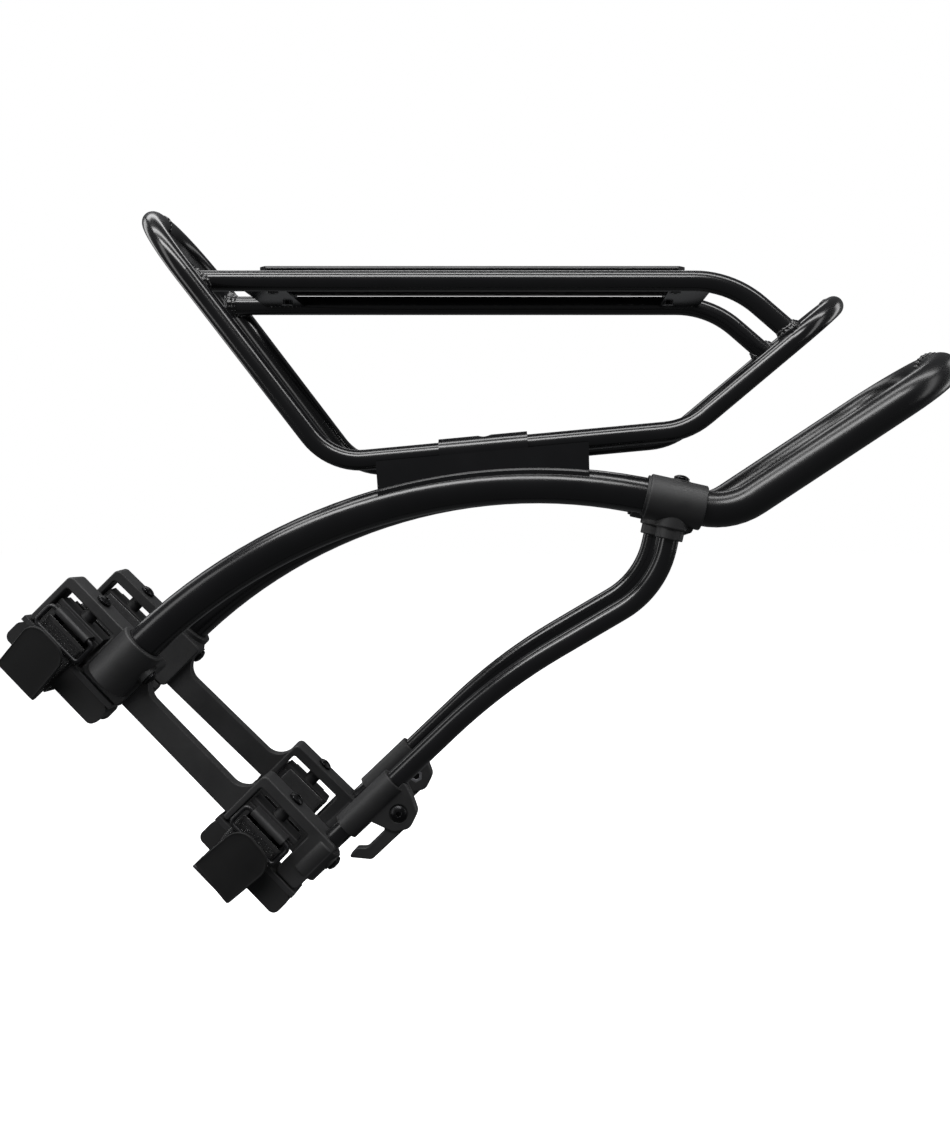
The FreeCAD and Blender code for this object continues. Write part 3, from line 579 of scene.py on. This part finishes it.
def tail_matrix(key):
    """The stay frame turned to where this strap end rests: leant outward and turned in its own plane."""
    _, tilt, turn = TAILS[key.split("_")[0]]
    lean_pivot = Matrix.Translation((0, HEEL[0], HEEL[1]))
    turn_pivot = Matrix.Translation((0, HEEL[0], 0))
    lean = lean_pivot @ Matrix.Rotation(math.radians(tilt), 4, "X") @ lean_pivot.inverted()
    spin = turn_pivot @ Matrix.Rotation(math.radians(turn), 4, "Z") @ turn_pivot.inverted()
    return stay_frame(key) @ lean @ spin


def tail_piece(key):
    """The gripped end of the strap: a soft slab with a thin raised rim, slightly dished."""
    matrix = tail_matrix(key)
    low = HEEL[0]
    high = low + TAILS[key.split("_")[0]][0]
    centre = Vector((0.0, (low + high) / 2))
    outline = tail_outline(STRAP_HALF, low, high, TIP_RADIUS, HEEL_RADIUS)
    # From the middle of the inner face, round the raised rim, to the middle of the outer face.
    layers = [(0.02, 16.05), (0.25, 16.05), (0.985, 16.05), (1.0, 16.35), (1.004, 17.0), (0.998, 17.6),
              (0.985, 17.85), (0.965, 17.86), (0.945, 17.70), (0.90, 17.62), (0.6, 17.66), (0.3, 17.7),
              (0.02, 17.7)]
    vertices = []
    uvs = []
    for scale, w in layers:
        for point in outline:
            place = centre + (point - centre) * scale
            along = (place.y - low) / (high - low)
            dish = 0.5 * along ** 2 - 0.35 * (place.x / STRAP_HALF) ** 2
            dish += 0.12 * noise.noise(Vector((place.x * 0.12, place.y * 0.12, ord(key[0]))))
            vertices.append(matrix @ Vector((place.x, place.y, w + dish)))
            uvs.append((place.x, place.y))
    faces = ring_faces(len(layers), len(outline))
    tail = make_piece("strap_end_pad_" + key, vertices, faces, GRIP, "strap_end_" + key, uvs)
    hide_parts("strap_tail_" + key)


FOLD_RADIUS = 1.45
FOLD_THICK = 0.9
FOLD_START = (-59.5, 12.35)


def strap_fold(key):
    """The strap turning back on itself: off the outer leg, then half round the strap end's fold line."""
    pivot = Vector(HEEL)
    path = [Vector(FOLD_START)]
    for index in range(17):
        a = -math.pi / 2 - math.pi * index / 16
        path.append(pivot + Vector((math.cos(a), math.sin(a))) * FOLD_RADIUS)
    vertices, faces, uvs = sweep_tape(path, STRAP_HALF, FOLD_THICK, stay_frame(key), pinch_ends=False)
    make_piece("strap_fold_" + key, vertices, faces, WEBBING, "cradle_" + key, uvs)


for key in KEYS:
    strap_pieces(key)
    strap_fold(key)
    tail_piece(key)


# ---------------------------------------------------------------- weld beads
CREST = 0.0027              # distance from one weld ripple to the next
PLUG_DEPTH = 0.0010         # thickness of the plug that closes a rail's end
DECK_TUBE_R = 0.00635
LOOP_TUBE_R = 0.011
SHEET = 0.003               # thickness of a cross plate's sheet, under its raised bosses


def surface(*names):
    """A searchable copy of the meshes of some CAD nodes."""
    vertices = []
    faces = []
    for name in names:
        mesh = frame["nodes"][name].data
        first = len(vertices)
        vertices.extend(vertex.co.copy() for vertex in mesh.vertices)
        faces.extend([first + index for index in polygon.vertices] for polygon in mesh.polygons)
    return BVHTree.FromPolygons(vertices, faces)


def square_to(axis):
    """Two directions square to the axis and to each other."""
    first = axis.cross(Vector((0, 1, 0)))
    if first.length < 0.2:
        first = axis.cross(Vector((0, 0, 1)))
    first.normalize()
    return first, axis.cross(first).normalized()


def seam_round(centre, axis, radius, target, reach, count=72):
    """Where a round tube that runs along the axis meets the target, as (point, outward) pairs."""
    first, second = square_to(axis)
    seam = []
    for index in range(count):
        a = math.tau * index / count
        outward = first * math.cos(a) + second * math.sin(a)
        start = centre - axis * 0.030 + outward * radius
        hit, _, _, distance = target.ray_cast(start, axis)
        if hit is None or distance > 0.030 + reach:
            hit = start + axis * (0.030 + reach)
        seam.append((hit, outward))
    return seam


def weld(name, seam, radius, closed=True, seed=0.0):
    """A rippled bead of weld metal along a seam, under the same gloss coat as the tubes."""
    points = [point for point, _ in seam]
    outs = [out for _, out in seam]
    dense = []
    pairs = list(zip(range(len(points)), list(range(1, len(points))) + ([0] if closed else [])))
    run = 0.0
    for here, there in pairs:
        gap = (points[there] - points[here]).length
        count = max(1, round(gap / 0.0004))
        for index in range(count):
            t = index / count
            out = outs[here].lerp(outs[there], t).normalized()
            dense.append((points[here].lerp(points[there], t), out, run))
            run += gap / count
    ripples = max(1, round(run / CREST))
    vertices = []
    size = 14
    total = len(dense)
    for index, (point, out, length) in enumerate(dense):
        after = dense[(index + 1) % total][0] if closed or index + 1 < total else point
        before = dense[index - 1][0] if closed or index else point
        tangent = (after - before).normalized()
        across = tangent.cross(out).normalized()
        phase = (length / run * ripples) % 1.0
        wobble = 1.0 + 0.16 * noise.noise(Vector((length * 160, seed, 1.7)))
        crest = (0.90 + 0.13 * math.cos(math.tau * (phase + 0.08 * math.sin(math.tau * phase)))) * wobble
        taper = 1.0
        if not closed:
            taper = min(1.0, 0.45 + min(index, total - 1 - index) * 0.09)
        for corner in range(size):
            a = math.tau * corner / size
            vertices.append(point + (out * math.sin(a) * 0.85 + across * math.cos(a) * 1.25)
                            * (radius * crest * taper))
    faces = ring_faces(total, size, closed)
    make_piece(name, vertices, faces, GLOSS, "rack")


def end_cap(name, seam, axis, bulge):
    """The filled end of a rail: a slightly domed, rough plug inside its bead."""
    centre = sum((point for point, _ in seam), Vector()) / len(seam)
    layers = [(share, bulge * (1 - share ** 2)) for share in (0.06, 0.2, 0.35, 0.5, 0.65, 0.8, 0.92, 1.0)]
    layers += [(share, -PLUG_DEPTH) for share in (0.97, 0.5, 0.06)]
    vertices = []
    for share, lift in layers:
        for point, _ in seam:
            place = centre.lerp(point, share)
            rough = 0.00018 * noise.noise(place * 900)
            vertices.append(place + axis * (lift + rough))
    make_piece(name, vertices, ring_faces(len(layers), len(seam)), GLOSS, "rack")


# The rail's rear run and the heights of the middle welds, as the CAD's own dimensions have them.
RAIL_TAIL = Vector((40.9, 0.0, -35.35)).normalized()
RAIL_END_X = 0.1994
RAIL_END_Z = -0.0449
HOOP_REAR_Z = -0.0193
LOOP_Z = -0.0601
RAIL_BEAD = 0.0028
FRONT_COVER_BEAD = 0.0016
REAR_COVER_BEAD = 0.0015
HOOP_BEAD = 0.0010
LOOP_BEAD = 0.0022
PLATE_BEAD = 0.0011
SADDLE_BEAD = 0.0010


def rail_welds(hand):
    low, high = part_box("deck_rail_" + hand)
    target = surface("deck_hoop_" + hand)
    y = (low.y + high.y) / 2
    forward = Vector((-1, 0, 0))
    front = Vector((low.x, y, high.z - DECK_TUBE_R))
    seam = seam_round(front, forward, DECK_TUBE_R, target, 0.0)
    weld("rail_weld_front_" + hand, seam, RAIL_BEAD, seed=1.0)
    pulled = [(point - forward * 0.0030, out) for point, out in seam]
    weld("rail_weld_front_cover_" + hand, pulled, FRONT_COVER_BEAD, seed=5.0)
    end_cap("rail_cap_front_" + hand, seam, forward, 0.0012)
    rear = Vector((RAIL_END_X, y, RAIL_END_Z))
    seam = seam_round(rear, RAIL_TAIL, DECK_TUBE_R, target, 0.0)
    weld("rail_weld_rear_" + hand, seam, RAIL_BEAD, seed=2.0)
    pulled = [(point - RAIL_TAIL * 0.0028, out) for point, out in seam]
    weld("rail_weld_rear_cover_" + hand, pulled, REAR_COVER_BEAD, seed=6.0)
    end_cap("rail_cap_rear_" + hand, seam, RAIL_TAIL, 0.0010)


def butt_weld(name, centre, axis, radius, bead):
    """A bead all round a tube where its two halves are joined end to end."""
    first, second = square_to(axis)
    seam = []
    for index in range(90):
        a = math.tau * index / 90
        out = first * math.cos(a) + second * math.sin(a)
        seam.append((centre + out * radius, out))
    weld(name, seam, bead, seed=radius * 1000)


def middle_welds():
    """The two halves of the deck frame and of the main tube meet on the centre plane."""
    low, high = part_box("deck_hoop_left")
    across = Vector((0, 1, 0))
    thin = DECK_TUBE_R
    butt_weld("hoop_weld_front", Vector((low.x + thin, 0, high.z - thin)), across, thin, HOOP_BEAD)
    butt_weld("hoop_weld_rear", Vector((high.x - thin, 0, HOOP_REAR_Z)), across, thin, HOOP_BEAD)
    _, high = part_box("main_tube_left")
    butt_weld("loop_weld", Vector((high.x - LOOP_TUBE_R, 0, LOOP_Z)), across, LOOP_TUBE_R, LOOP_BEAD)


def cross_plate_welds(name, hand, sign):
    """Short beads on both long sides of a cross plate's end, against the rail."""
    low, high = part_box(name)
    rail = surface("deck_rail_" + hand)
    for label, height, up in (("under", low.z, -1.0), ("over", low.z + SHEET, 1.0)):
        seam = []
        for index in range(13):
            x = low.x + 0.002 + (high.x - low.x - 0.004) * index / 12
            start = Vector((x, 0.0, height + up * 0.0002))
            hit, normal, _, _ = rail.ray_cast(start, Vector((0, sign, 0)))
            if hit is not None:
                seam.append((hit, (normal + Vector((0, 0, up))).normalized()))
        if len(seam) > 2:
            end = name.removeprefix("cross_plate_")
            weld("plate_weld_%s_%s_%s" % (end, hand, label), seam, PLATE_BEAD, False, seed=low.x * 1000)


def saddle_welds(hand, sign):
    """Beads along both sides of a saddle, where its foot stands on the main tube."""
    low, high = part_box("saddle_" + hand)
    tube = surface("main_tube_" + hand)
    y = (low.y + high.y) / 2
    for label, inward in (("outer", -1.0), ("inner", 1.0)):
        seam = []
        for index in range(56):
            x = low.x + 0.003 + (high.x - low.x - 0.006) * index / 55
            start = Vector((x, y + sign * -inward * 0.0084, high.z + 0.02))
            hit, normal, _, _ = tube.ray_cast(start, Vector((0, 0, -1)))
            if hit is not None:
                seam.append((hit, normal))
        weld("saddle_weld_%s_%s" % (hand, label), seam, SADDLE_BEAD, False, seed=3.0 + inward)


def plate_welds():
    for hand, sign in (("left", -1), ("right", 1)):
        for name in ("cross_plate_front", "cross_plate_rear"):
            cross_plate_welds(name, hand, sign)
        saddle_welds(hand, sign)
        rail_welds(hand)
    middle_welds()


plate_welds()


# ---------------------------------------------------------------- stage
PAPER_GLOW = 1.0
SKY_DIM = 0.10
FLOOR_DROP = 0.16
FLOOR_HALF = 9.0


def plane(name, corners, material):
    mesh = bpy.data.meshes.new(name)
    mesh.from_pydata(corners, [], [tuple(range(len(corners)))])
    mesh.materials.append(material)
    piece = bpy.data.objects.new(name, mesh)
    bpy.context.scene.collection.objects.link(piece)
    return piece


def paper():
    """Pale paper that is lit from behind as well, so it stays close to white under the lamps."""
    m = Nodes("pale_paper")
    tone = m.colours(m.noise(3.0, 2.0), (0.90, 0.90, 0.90), (0.93, 0.93, 0.93))
    m.link(tone, m.shader.inputs["Base Color"])
    m.link(tone, m.shader.inputs["Emission Color"])
    m.set(Roughness=0.9, Emission_Strength=PAPER_GLOW)
    return m.material


def sweep_floor():
    """A flat sheet of pale paper under the rack.  It doesn't light the black tubes."""
    floor_z = CAD_BOX[0].z - FLOOR_DROP
    corners = [(-1, -1), (1, -1), (1, 1), (-1, 1)]
    floor = plane("paper_floor", [(x * FLOOR_HALF, y * FLOOR_HALF, floor_z) for x, y in corners], paper())
    floor.visible_glossy = False
    floor.visible_diffuse = False


sweep_floor()


def softbox(name, location, target, width, height, power):
    data = bpy.data.lights.new(name, "AREA")
    data.shape = "RECTANGLE"
    data.size = width
    data.size_y = height
    data.energy = power
    lamp = bpy.data.objects.new(name, data)
    bpy.context.scene.collection.objects.link(lamp)
    lamp.location = location
    direction = Vector(target) - Vector(location)
    lamp.rotation_mode = "QUATERNION"
    lamp.rotation_quaternion = direction.to_track_quat("-Z", "Y")


def studio():
    """A dim room that the camera sees as bright paper, and long lamps that draw the tubes' highlights."""
    world = bpy.data.worlds.new("studio")
    bpy.context.scene.world = world
    world.use_nodes = True
    nodes = world.node_tree.nodes
    links = world.node_tree.links
    room = nodes["Background"]
    room.inputs["Color"].default_value = (0.95, 0.97, 1.0, 1)
    room.inputs["Strength"].default_value = SKY_DIM
    paper_sky = nodes.new("ShaderNodeBackground")
    paper_sky.inputs["Color"].default_value = (1.0, 1.0, 1.0, 1)
    paper_sky.inputs["Strength"].default_value = PAPER_GLOW
    chooser = nodes.new("ShaderNodeMixShader")
    links.new(nodes.new("ShaderNodeLightPath").outputs["Is Camera Ray"], chooser.inputs[0])
    links.new(room.outputs[0], chooser.inputs[1])
    links.new(paper_sky.outputs[0], chooser.inputs[2])
    links.new(chooser.outputs[0], nodes["World Output"].inputs["Surface"])
    middle = (0.03, 0.0, -0.15)
    softbox("overhead_strip", (0.0, -0.25, 1.25), middle, 2.6, 0.30, 20)
    for side, name, top, front in ((-1, "near", 20, 5), (1, "far", 5, 4)):
        softbox(name + "_top", (-0.35, side * 0.95, 1.05), middle, 1.6, 0.34, top)
        softbox(name + "_front_strip", (-1.35, side * 0.75, 0.1), middle, 0.45, 1.5, front)
        softbox(name + "_rear_strip", (1.45, side * 0.7, 0.2), middle, 0.4, 1.4, 4)


studio()
